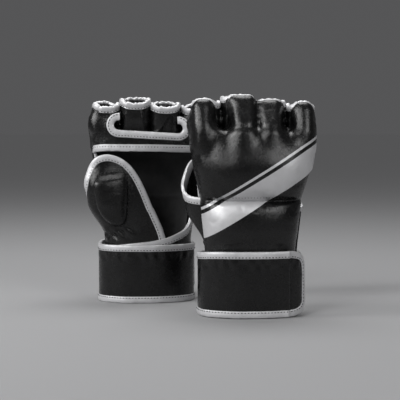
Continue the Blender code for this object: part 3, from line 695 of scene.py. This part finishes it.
# The tape round the slot lies on the bar, and past the slot's ends on the outer fingers.
left, right = slot_end(SLOT_LEFT, 84.0, 268.0), slot_end(SLOT_RIGHT, -88.0, 98.0)
straight = mix(left[-1], right[0], np.linspace(0.02, 0.98, 40)[:, None])
edge = spaced(np.vstack([left, straight, right]), 1.0)
along = unit(np.gradient(edge, axis=0))
away = np.stack([along[:, 1], -along[:, 0]], 1)
edge = edge + away * 0.5 * SLOT_TAPE
x, z = edge[:, 0], edge[:, 1]
over_finger = np.where(x < 0.0, np.minimum(x, -35.0), np.maximum(x, 38.0))
under = np.stack([np.where(z > SLOT_LEFT[1], over_finger, x), z], 1)
path, normals = on_panel(palm_tree, under, FROM_PALM)
depths = path[:, 1].copy()
for shift in (-3.6, -1.8, 1.8, 3.6):
    for i, (cast_x, cast_z) in enumerate(under + away * shift):
        place, _ = cast(palm_tree, cast_x, cast_z, FROM_PALM)
        if place is not None:
            depths[i] = max(depths[i], place.y)
depths = smoothed(np.max([np.roll(depths, k) for k in range(-3, 4)], axis=0), 10)
path, normals = spaced(np.stack([x, depths, z], 1), 1.0, normals)
across = tape_across(path, normals, len(path) // 2)
tape_and_stitches("slot_tape", path, normals, across, HAND_FINGERS, ("slot_binding",), low=-0.5 * SLOT_TAPE,
                  high=0.5 * SLOT_TAPE + SLOT_TAPE_INSET, thickness=BAR_THICKNESS, seed=2.1)


# Finger rims

for number, (name, finger) in enumerate(FINGERS.items()):
    middle, half = finger["hole"]
    turn = np.linspace(0.0, 2 * np.pi, 121)[:-1]
    sine, cosine = signed_power(np.sin(turn), 2 / RIM_POWER), signed_power(np.cos(turn), 2 / RIM_POWER)
    y = middle + FINGER_LEAN - (half + np.where(cosine > 0, 0.9, 1.9)) * cosine
    middle_x, width = finger_middle(finger, y)
    x = middle_x + (width - FINGER_WALL + 1.7) * sine
    loop = np.stack([x, y, finger_rim(finger, x, y) - 0.4], 1)
    loop = spaced(np.vstack([loop, loop[:1]]), 0.8)[:-1]
    ahead = np.roll(loop, -1, axis=0) - np.roll(loop, 1, axis=0)
    up = np.array([0.0, RIM_DROP, 2 * half]) / math.hypot(RIM_DROP, 2 * half)
    normals = unit(np.cross(ahead, up))
    if np.sum((loop - loop.mean(0)) * normals) < 0:
        normals = -normals
    for _ in range(6):
        normals = unit(np.roll(normals, 1, 0) + 2 * normals + np.roll(normals, -1, 0))
    across = unit(up - normals * (normals @ up)[:, None])
    tape_and_stitches(name + "_rim_tape", loop, normals, across, "fingers", (name + "_rim",), low=-5.8, high=1.8,
                      thickness=1.8, proud=1.5, closed=True, wave=0.16, seed=1.3 * number + 0.4, inside=0.4,
                      crinkle=0.42)


# Thumb guard, pad and bound edges. On the guard, places are given by the share of the way round it and by height.

GUARD_ANGLES = (172.0, 267.0)
GUARD_THICKNESS = 2.5
GUARD_BULGE = 22.0
GUARD_FOOT = 56.0
ROOT_LITTLE, ROOT_THUMB, ROOT_CLEAR = 80.0, 57.0, 7.3  # slanted line of the strap under the guard
ARCH = ((-0.075, 60.0), (-0.02, 75.0), (0.06, 92.0), (0.15, 117.0), (0.24, 136.0), (0.34, 147.5), (0.47, 153.0),
        (0.59, 152.0), (0.67, 146.5), (0.725, 136.0), (0.76, 125.0), (0.82, 117.0), (0.9, 113.0), (1.0, 111.0))
PAD_SHARES = (0.29, 0.665)
PAD_MIDDLE, PAD_HALF = 0.5 * sum(PAD_SHARES), 0.5 * (PAD_SHARES[1] - PAD_SHARES[0])
PAD_FOOT, PAD_TOP = 83.0, 141.0
PAD_CENTRE = np.array([PAD_MIDDLE, 0.5 * (PAD_FOOT + PAD_TOP)])
PAD_SLANT = 2.6
PAD_BEVEL = (-1.0, 11.0)
PAD_HEIGHT = 6.8
HOLE_FOOT, HOLE_TOP = 119.0, 160.5


def guard_point(share, z, offset=0.0):
    angle = mix(*GUARD_ANGLES, share)
    foot = mix(ROOT_LITTLE, ROOT_THUMB, (angle - 90.0) / 180.0) + ROOT_CLEAR
    bulge = GUARD_BULGE * np.sin(np.pi * np.clip(share, 0.0, 1.0) ** 2.2)
    bulge = bulge * ease(z, foot, 108.0) * mix(1.0, 0.7, ease(z, 124.0, 152.5))
    low = hill(z, foot + 6.0, 7.0) * ease(z, 64.0, 70.0)
    folds = low * (np.sin(z / 2.1 + 5.0 * np.sin(share * 7.0)) + 0.7 * np.sin(share * 31.0 - z / 3.5 + 1.0))
    folds = folds * ease(share, 0.15, 0.4) * (1.0 - ease(share, 0.85, 1.0))
    return hand_point(angle, z, bulge + folds + offset)


arch = curve_through(ARCH, 0.01)


def arch_height(share):
    return np.interp(share, arch[:, 0], arch[:, 1])


shares, rise = grid(np.linspace(ARCH[0][0], 1.0, 110), np.linspace(0.0, 1.0, 70))
guard = guard_point(shares, mix(GUARD_FOOT, arch_height(shares), rise))
piece("thumb_guard", sheet(guard, GUARD_THICKNESS), "leather", HAND_THUMB, ("thumb_guard",))
shares = np.linspace(1.0, ARCH[0][0], 440)
edge = guard_point(shares, arch_height(shares))
normals = surface_normals(np.stack([edge, guard_point(shares, arch_height(shares) - 1.0)], 1))[:, 0]
edge, normals = spaced(edge, 1.0, normals)
normals = smoothed(normals, 10, directions=True)
across = tape_across(edge, normals, len(edge) // 2)
tape_and_stitches("thumb_guard_tape", edge, normals, across, HAND_THUMB, ("thumb_guard_binding",),
                  high=TAPE_WIDTH - 0.4, thickness=GUARD_THICKNESS, seed=3.3, stitch=0.22)


def pad_outline(count):
    """Outline of the thumb pad: a straight slanted top, round lower corners, narrower at the foot."""
    turn = np.linspace(0.0, 2 * np.pi, count, endpoint=False)
    sine = signed_power(np.sin(turn), 0.42)
    cosine = signed_power(np.cos(turn), mix(0.42, 0.75, ease(-sine, -0.2, 0.8)))
    z = mix(PAD_FOOT, PAD_TOP, 0.5 + 0.5 * sine) - PAD_SLANT * cosine * ease(sine, -0.2, 1.0)
    narrow = mix(0.82, 1.0, ease(sine, -1.0, 0.8))
    return np.stack([PAD_MIDDLE + PAD_HALF * cosine * narrow, z], -1)


count = 128
outline = pad_outline(count)
rings = np.concatenate([np.linspace(0.03, 0.7, 16), 1.0 - 0.3 * np.linspace(0.95, 0.0, 18) ** 1.6])
spots = PAD_CENTRE + rings[:, None, None] * (outline - PAD_CENTRE)[None]
sides = np.sqrt(np.clip(1.0 - rings[:, None] ** 7, 0.0, 1.0))
across = (spots[..., 0] - PAD_MIDDLE) / PAD_HALF
bevel = ease(PAD_TOP - PAD_SLANT * across - spots[..., 1], *PAD_BEVEL)
crown = 1.0 - 0.16 * across**2
height = 0.4 + PAD_HEIGHT * sides * crown * mix(0.12, 1.0, bevel)
top = guard_point(spots[..., 0], spots[..., 1], height).reshape(-1, 3)
foot = guard_point(outline[:, 0], outline[:, 1], 0.1)
points = np.vstack([top, foot])
faces = quad_faces(len(rings) + 1, count, wrap=True)
faces += [list(range(count)), list(range(len(top), len(points)))[::-1]]
piece("thumb_pad", (points, outward(points, faces)), "leather", "thumb", ("thumb_pad",), padded=0.7)
line = PAD_CENTRE + 1.04 * (pad_outline(500) - PAD_CENTRE)
row = stitch_row(*line_on(guard_point, *line.T, 0.15), radius=0.32)
piece("thumb_pad_stitches", row, "thread", "thumb")

z = np.linspace(HOLE_FOOT, HOLE_TOP, 46)
width, shift, _ = back_sizes(z)
path = np.stack([shift - width, np.full_like(width, 0.2), z], 1)
normals = np.tile([-1.0, 0.0, 0.0], (len(path), 1))
across = np.tile([0.0, 1.0, 0.0], (len(path), 1))
tape_and_stitches("thumb_hole_tape", path, normals, across, "hand", ("thumb_hole_binding",), low=-3.6,
                  high=1.2, thickness=EDGE_WALL, proud=0.7, seed=0.2, wave=0.08, stitch=0.34)


# Wrist strap: an inner turn, and an outer turn that ends in the free flap. On the outer turn, places are given by
# the length s from its start and by height z, up to STRAP_HEIGHT, which its foot and head lines then fit.

STRAP_THICKNESS = 2.6
STRAP_TAPE = TAPE_WIDTH - 0.6
INNER_TURN, OUTER_TURN = 3.0, 7.4
INNER_FOOT = 3.0
STRAP_START, STRAP_END = 84.0, 434.0
FIRST_STRETCH = 112.0
STRAP_HEIGHT = 67.0
STRAP_FOOT = 0.6
PALM_HEAD, BACK_HEAD = 62.2, 66.2
CORNER_LENGTH, CORNER_HEIGHT = 24.0, 15.5
FLAP_SEAM = 403.5
ROOT_ANGLES = (88.0, 94.0, 100.0, 108.0, 120.0, 155.0, 180.0, 235.0, 268.0)
ROOT_EDGE = (110.0, 101.0, 88.0, 79.0, 72.5, 63.6, 59.4, 54.5, 53.0)


def root_edge(angle):
    """Upper edge of the strap's first turn: slanted on the palm, climbing beside the little finger."""
    return smooth_profile(angle, ROOT_ANGLES, ROOT_EDGE, 3.0)


angle, rise = grid(np.linspace(268.0, 91.0, 120), np.linspace(0.0, 1.0, 40))
root = hand_point(angle, mix(INNER_FOOT, root_edge(angle), rise), INNER_TURN)
piece("strap_root", sheet(root, STRAP_THICKNESS), "leather", "hand", ("strap_root",))
angle = np.linspace(268.0, 88.5, 300)
edge, normals = line_on(hand_point, angle, root_edge(angle), INNER_TURN)
edge, normals = spaced(edge, 1.0, normals)
edge = smoothed(edge, 6)
across = tape_across(edge, normals, len(edge) // 3)
tape_and_stitches("strap_root_tape", edge, normals, across, "hand", ("strap_root_binding",),
                  high=STRAP_TAPE, thickness=STRAP_THICKNESS, proud=0.7, seed=4.4, stitch=0.22)
loop = hand_point(*grid(np.linspace(-89.0, 89.0, 90), np.linspace(INNER_FOOT, 60.5, 24)), INNER_TURN)
piece("loop_panel", sheet(loop, STRAP_THICKNESS), "loop", "hand", ("loop_panel",))


def strap_offset(angle):
    climb = mix(INNER_TURN + STRAP_THICKNESS + 0.1, OUTER_TURN, ease(angle, STRAP_START, FIRST_STRETCH))
    return climb + 3.4 * ease(angle, 385.0, 432.0)


strap_angles = np.linspace(STRAP_START, STRAP_END, 1200)
strap_lengths = lengths_along(hand_point(strap_angles, 30.0, strap_offset(strap_angles)))
CORNER_START = strap_lengths[-1] - CORNER_LENGTH
FIRST_END = np.interp(FIRST_STRETCH, strap_angles, strap_lengths)


def strap_point(s, z, offset=0.0):
    angle = np.interp(s, strap_lengths, strap_angles)
    head = mix(PALM_HEAD, BACK_HEAD, ease(angle, 250.0, 330.0))
    sag = 0.5 * np.sin(s / 9.0) * ease(z, 40.0, 66.0) + 0.35 * np.sin(s / 5.3 + 1.0) * ease(-z, -22.0, -2.0)
    pucker = 0.55 * np.sin(s / 2.1 + 1.1 * np.sin(s / 6.0)) * hill(z, 54.5, 4.5)
    sewn = 1.5 * hill(angle, FLAP_SEAM, 1.0) + 0.4 * ease(angle, FLAP_SEAM, FLAP_SEAM + 1.5)
    sewn = sewn - 1.4 * hill(angle, FLAP_SEAM - 4.5, 3.2)
    lift = (sag + pucker - sewn) * ease(s, 0.0, 30.0)
    height = STRAP_FOOT + z * (head - STRAP_FOOT) / STRAP_HEIGHT
    return hand_point(angle, height, strap_offset(angle) + lift + offset)


def corner_cut(s):
    """How far the tape, and the flap's round corners, cut into the leather's height."""
    into = np.clip((s - CORNER_START) / (CORNER_LENGTH - STRAP_TAPE), 0.0, 1.0)
    return STRAP_TAPE + (CORNER_HEIGHT - STRAP_TAPE) * (1.0 - np.sqrt(1.0 - into**2))


def strap_sheet(stops):
    """The strap's leather between its tapes."""
    s, rise = grid(stops, np.linspace(0.0, 1.0, 44))
    cut = corner_cut(s)
    return sheet(strap_point(s, mix(cut, STRAP_HEIGHT - cut, rise)), STRAP_THICKNESS)


def add_strap_tape(name, s, z, rides, stands_for=()):
    """Tape along the strap's edge. Its line starts at the strap's foot or at its head."""
    edge, normals = line_on(strap_point, s, z)
    edge, normals = spaced(edge, 1.1, normals)
    across = tape_across(edge, normals, 5, upwards=z[0] > 0.5 * STRAP_HEIGHT)
    tape_and_stitches(name, edge, normals, across, rides, stands_for, high=STRAP_TAPE,
                      thickness=STRAP_THICKNESS, proud=0.8, seed=5.0, stitch=0.22)


# The first stretch stays on the hand. The rest is set in place as built.
corner = CORNER_START + (CORNER_LENGTH - STRAP_TAPE) * np.sin(np.linspace(0.0, 0.5 * np.pi, 24))[1:]
piece("strap_start", strap_sheet(np.linspace(0.0, FIRST_END, 40)), "leather", "hand")
stops = np.concatenate([np.linspace(FIRST_END, CORNER_START, 380), corner])
piece("strap_band", strap_sheet(stops), "leather", HAND_STRAP, ("strap_wrap", "strap_flap"))
s = np.concatenate([np.linspace(FIRST_END, CORNER_START, 300), corner])
cut = corner_cut(s)
add_strap_tape("strap_tape", np.concatenate([s, s[::-1]]), np.concatenate([cut, STRAP_HEIGHT - cut[::-1]]),
               HAND_STRAP, ("strap_wrap_top_binding", "strap_wrap_bottom_binding", "strap_flap_binding"))
s = np.linspace(0.0, FIRST_END, 60)
add_strap_tape("strap_start_foot_tape", s, corner_cut(s), "hand")
add_strap_tape("strap_start_head_tape", s[::-1], STRAP_HEIGHT - corner_cut(s), "hand")


# Seam stitches near the flap's end, and the hook patch under the flap.
z = np.linspace(STRAP_TAPE + 0.5, STRAP_HEIGHT - STRAP_TAPE - 0.5, 60)
s = np.full_like(z, np.interp(FLAP_SEAM, strap_angles, strap_lengths))
row = stitch_row(*line_on(strap_point, s, z, 0.1), length=2.6, radius=0.4)
piece("flap_stitches", row, "thread", "strap")
angle, z = grid(np.linspace(-50.0, 24.0, 40), np.linspace(15.0, 53.0, 16))
patch = sheet(hand_point(angle, z, OUTER_TURN - STRAP_THICKNESS - 0.35), 1.0)
piece("hook_patch", patch, "hook", "strap", ("hook_patch",))


# Stitches along the sewn crease across the back
crease_x = np.linspace(-46.0, 47.0, 160)
crease_line = np.stack([crease_x, np.full_like(crease_x, CREASE + 3.2)], 1)
crease_row = stitch_row(*on_panel(back_tree, crease_line, FROM_BACK), length=1.8, radius=0.3, pitch=3.0)
piece("crease_stitches", crease_row, "thread", "hand")


# Finishes

def connect(tree, target, **inputs):
    """Sets a node's inputs to values, or links them to other nodes."""
    for key, value in inputs.items():
        socket = target.inputs[key.replace("_", " ")]
        if isinstance(value, bpy.types.NodeSocket):
            tree.links.new(value, socket)
        else:
            socket.default_value = value
    return target


def node(tree, kind, settings=None, **inputs):
    made = tree.nodes.new(kind)
    for key, value in (settings or {}).items():
        setattr(made, key, value)
    return connect(tree, made, **inputs)


def finish_base(name, **inputs):
    material = bpy.data.materials.new(name)
    material.use_nodes = True
    tree = material.node_tree
    shader = connect(tree, tree.nodes["Principled BSDF"], **inputs)
    return material, tree, shader, node(tree, "ShaderNodeTexCoord").outputs["Object"]


def noise(tree, coords, scale, detail=3.0, roughness=0.55):
    made = node(tree, "ShaderNodeTexNoise", Vector=coords, Scale=scale, Detail=detail, Roughness=roughness)
    return made.outputs["Fac"]


def ramp(tree, value, low, high, low_colour, high_colour):
    made = node(tree, "ShaderNodeValToRGB", Fac=value)
    for stop, position, colour in zip(made.color_ramp.elements, (low, high), (low_colour, high_colour)):
        stop.position, stop.color = position, (*colour, 1.0)
    return made.outputs["Color"]


def remap(tree, value, low, high):
    made = node(tree, "ShaderNodeMapRange", Value=value, From_Min=0.3, From_Max=0.7, To_Min=low, To_Max=high)
    return made.outputs["Result"]


def bumped(tree, height, strength, depth, **under):
    made = node(tree, "ShaderNodeBump", Height=height, Strength=strength, Distance=depth, **under)
    return made.outputs["Normal"]


def leather(name, dark, light, rough, grain, metallic=0.0, specular=0.5):
    material, tree, shader, coords = finish_base(name, Metallic=metallic, Specular_IOR_Level=specular)
    cells = node(tree, "ShaderNodeTexVoronoi", {"feature": "SMOOTH_F1"}, Vector=coords, Scale=grain,
                 Smoothness=0.6)
    creases = bumped(tree, noise(tree, coords, 130.0, 5.0, 0.62), 0.35, 0.0008)
    connect(tree, shader, Normal=bumped(tree, cells.outputs["Distance"], 0.25, 0.0005, Normal=creases),
            Base_Color=ramp(tree, noise(tree, coords, 45.0, 4.0), 0.3, 0.72, dark, light),
            Roughness=remap(tree, noise(tree, coords, 210.0, 4.0), *rough))
    return material


def cloth_base(name, sheen):
    return finish_base(name, Specular_IOR_Level=0.25, Sheen_Weight=sheen, Sheen_Roughness=0.5)


def woven(name, dark, light, scale, strength, sheen):
    material, tree, shader, coords = cloth_base(name, sheen)
    both = node(tree, "ShaderNodeMath", {"operation": "MAXIMUM"})
    for i, axis in enumerate(("X", "Z")):
        wave = node(tree, "ShaderNodeTexWave", {"bands_direction": axis}, Vector=coords, Scale=scale,
                    Distortion=1.2, Detail=1.0)
        tree.links.new(wave.outputs["Fac"], both.inputs[i])
    connect(tree, shader, Normal=bumped(tree, both.outputs["Value"], strength, 0.0005),
            Base_Color=ramp(tree, noise(tree, coords, 80.0, 4.0), 0.3, 0.7, dark, light),
            Roughness=remap(tree, noise(tree, coords, 150.0), 0.72, 0.9))
    return material


def fuzzy(name, dark, light, scale, strength):
    material, tree, shader, coords = cloth_base(name, 0.5)
    connect(tree, shader, Normal=bumped(tree, noise(tree, coords, scale, 6.0, 0.7), strength, 0.001),
            Base_Color=ramp(tree, noise(tree, coords, scale * 0.4, 4.0), 0.35, 0.65, dark, light),
            Roughness=remap(tree, noise(tree, coords, 120.0), 0.8, 0.95))
    return material


def grey(value):
    return (value, value, value * 1.02)


FINISHES = {
    "leather": leather("black_leather", grey(0.0025), grey(0.0055), (0.21, 0.31), 1500.0, specular=0.42),
    "silver": leather("silver_leather", grey(0.50), grey(0.62), (0.34, 0.48), 1700.0, metallic=0.3),
    "lining": woven("black_lining", grey(0.012), grey(0.024), 260.0, 0.5, 0.25),
    "loop": fuzzy("black_loop", grey(0.010), grey(0.026), 900.0, 0.9),
    "hook": fuzzy("black_hook", grey(0.012), grey(0.022), 1400.0, 0.8),
    "thread": woven("dark_thread", grey(0.008), grey(0.02), 700.0, 0.4, 0.1),
}
SHARP_ANGLE = 55.0

# A plain sewn-on band across the back: straight edges, from the thumb side of the wrist to the little finger
BAND_MIDDLE = Vector((2.0, 0.0, 121.0))
BAND_SLOPE = math.radians(32.0)
BAND_EDGES = ((-11.0, 11.0), (14.5, 17.0))
BAND_SIDE = -6.0
CUT_REACH = 1e-4


def on_outside(face):
    """True for faces on the outside of the back, up to the band's ends at the sides."""
    place = face.calc_center_median()
    return place.y < BAND_SIDE and (face.normal.y < -0.05 or face.normal.x * place.x > 15.0)


def add_band(mesh):
    """Cuts straight edges into the back and gives the faces between them the silver finish."""
    rise = Vector((-math.sin(BAND_SLOPE), 0.0, math.cos(BAND_SLOPE)))
    bm = bmesh.new()
    bm.from_mesh(mesh)
    bmesh.ops.bisect_plane(bm, geom=[*bm.faces, *bm.edges, *bm.verts], dist=CUT_REACH,
                           plane_co=Vector((0.0, BAND_SIDE, 0.0)), plane_no=Vector((0.0, 1.0, 0.0)))
    for low, high in BAND_EDGES:
        for up in (low, high):
            bm.normal_update()
            cut = [face for face in bm.faces if on_outside(face)]
            near = {item for face in cut for item in (face, *face.edges, *face.verts)}
            bmesh.ops.bisect_plane(bm, geom=list(near), dist=CUT_REACH, plane_co=BAND_MIDDLE + rise * up,
                                   plane_no=rise)
        bm.normal_update()
        for face in bm.faces:
            if low < (face.calc_center_median() - BAND_MIDDLE).dot(rise) < high and on_outside(face):
                face.material_index = 1
    bm.to_mesh(mesh)
    bm.free()


# The two gloves

joints = {joint["name"]: joint for joint in frame["joints"]}


def glove_matrix(side):
    """From the glove's frame in millimetres to the shared frame, read from the knuckle joint."""
    joint = joints[side + "_finger_flex"]
    x_axis = Vector(joint["axis"]) * (-1.0 if side == "right" else 1.0)
    turn = Matrix.Rotation(math.atan2(x_axis.y, x_axis.x), 4, "Z")
    if side == "left":
        turn = turn @ Matrix.Diagonal((1.0, -1.0, 1.0, 1.0))
    turn = turn @ Matrix.Diagonal((MM, MM, MM * HEIGHT_SCALE, 1.0))
    return Matrix.Translation(Vector(joint["pos_m"]) - turn @ Vector(KNUCKLE_AXIS)) @ turn


for side in ("right", "left"):
    to_frame = glove_matrix(side)
    for name, (points, faces), finish, rides, stands_for, fill, banded in pieces:
        mesh = bpy.data.meshes.new(side + "_" + name)
        mesh.from_pydata(points.tolist(), [], faces)
        mesh.materials.append(FINISHES[finish])
        if banded:
            mesh.materials.append(FINISHES["silver"])
            add_band(mesh)
        mesh.transform(to_frame)
        if side == "left":
            mesh.flip_normals()
        mesh.shade_smooth()
        mesh.set_sharp_from_angle(angle=math.radians(SHARP_ANGLE))
        obj = add_object("look_" + side + "_" + name, mesh)
        if isinstance(rides, str):
            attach(obj, side + "_" + rides)
        else:
            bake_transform(obj)
        if stands_for:
            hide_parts(*(side + "_" + solid for solid in stands_for))


# Floor, light and camera

FLOOR_HALF = 40.0
floor_corners = [(x * FLOOR_HALF, y * FLOOR_HALF, 0.0) for x, y in ((-1, -1), (1, -1), (1, 1), (-1, 1))]
floor_mesh = bpy.data.meshes.new("floor")
floor_mesh.from_pydata(floor_corners, [], [(0, 1, 2, 3)])
floor_finish = finish_base("floor", Base_Color=(0.26, 0.26, 0.265, 1.0), Roughness=0.85)[0]
floor_mesh.materials.append(floor_finish)
floor = add_object("floor", floor_mesh)

world = bpy.data.worlds.new("studio")
scene.world = world
world.use_nodes = True
sky = world.node_tree.nodes["Background"]
connect(world.node_tree, sky, Color=(0.8, 0.8, 0.82, 1.0), Strength=0.115)

KEY_DIRECTION = (0.75, 0.95, -0.86)
KEY_ANGLE = 22.0
KEY_STRENGTH = 1.2
SOFTBOXES = (  # name, place, target, size, power
    ("fill", (0.85, -0.95, 0.8), (0.04, 0.0, 0.14), (0.4, 0.4), 4.0),
    ("front", (0.56, -1.0, 0.84), (0.04, 0.0, 0.14), (0.25, 0.22), 1.4),
    ("side", (-1.0, -0.25, 0.85), (0.0, -0.05, 0.14), (0.3, 0.5), 8.0),
    ("edge", (-0.95, -0.66, 0.52), (-0.02, 0.0, 0.16), (0.2, 0.3), 2.6),
    ("top", (0.05, 0.32, 1.3), (0.0, 0.0, 0.1), (0.9, 0.6), 12.0),
)


def aim(obj, direction):
    obj.rotation_euler = Vector(direction).to_track_quat("-Z", "Y").to_euler()


key = bpy.data.lights.new("key", "SUN")
key.energy, key.angle = KEY_STRENGTH, math.radians(KEY_ANGLE)
aim(add_object("key", key), KEY_DIRECTION)
for name, place, target, size, power in SOFTBOXES:
    light = bpy.data.lights.new(name, "AREA")
    light.shape = "RECTANGLE"
    light.size, light.size_y = size
    light.energy = power
    softbox = add_object(name, light)
    softbox.location = place
    aim(softbox, Vector(target) - Vector(place))

CAMERA_PLACE = (0.005, -1.148, 0.185)
CAMERA_TILT = 3.68
camera = bpy.data.cameras.new("camera")
camera.lens = 99.0
camera.sensor_width = 36.0
camera_object = add_object("camera", camera)
camera_object.location = CAMERA_PLACE
camera_object.rotation_euler = (math.radians(90.0 - CAMERA_TILT), 0.0, 0.0)
bpy.context.scene.camera = camera_object
bpy.context.scene.view_settings.view_transform = "Standard"

bpy.context.view_layer.update()
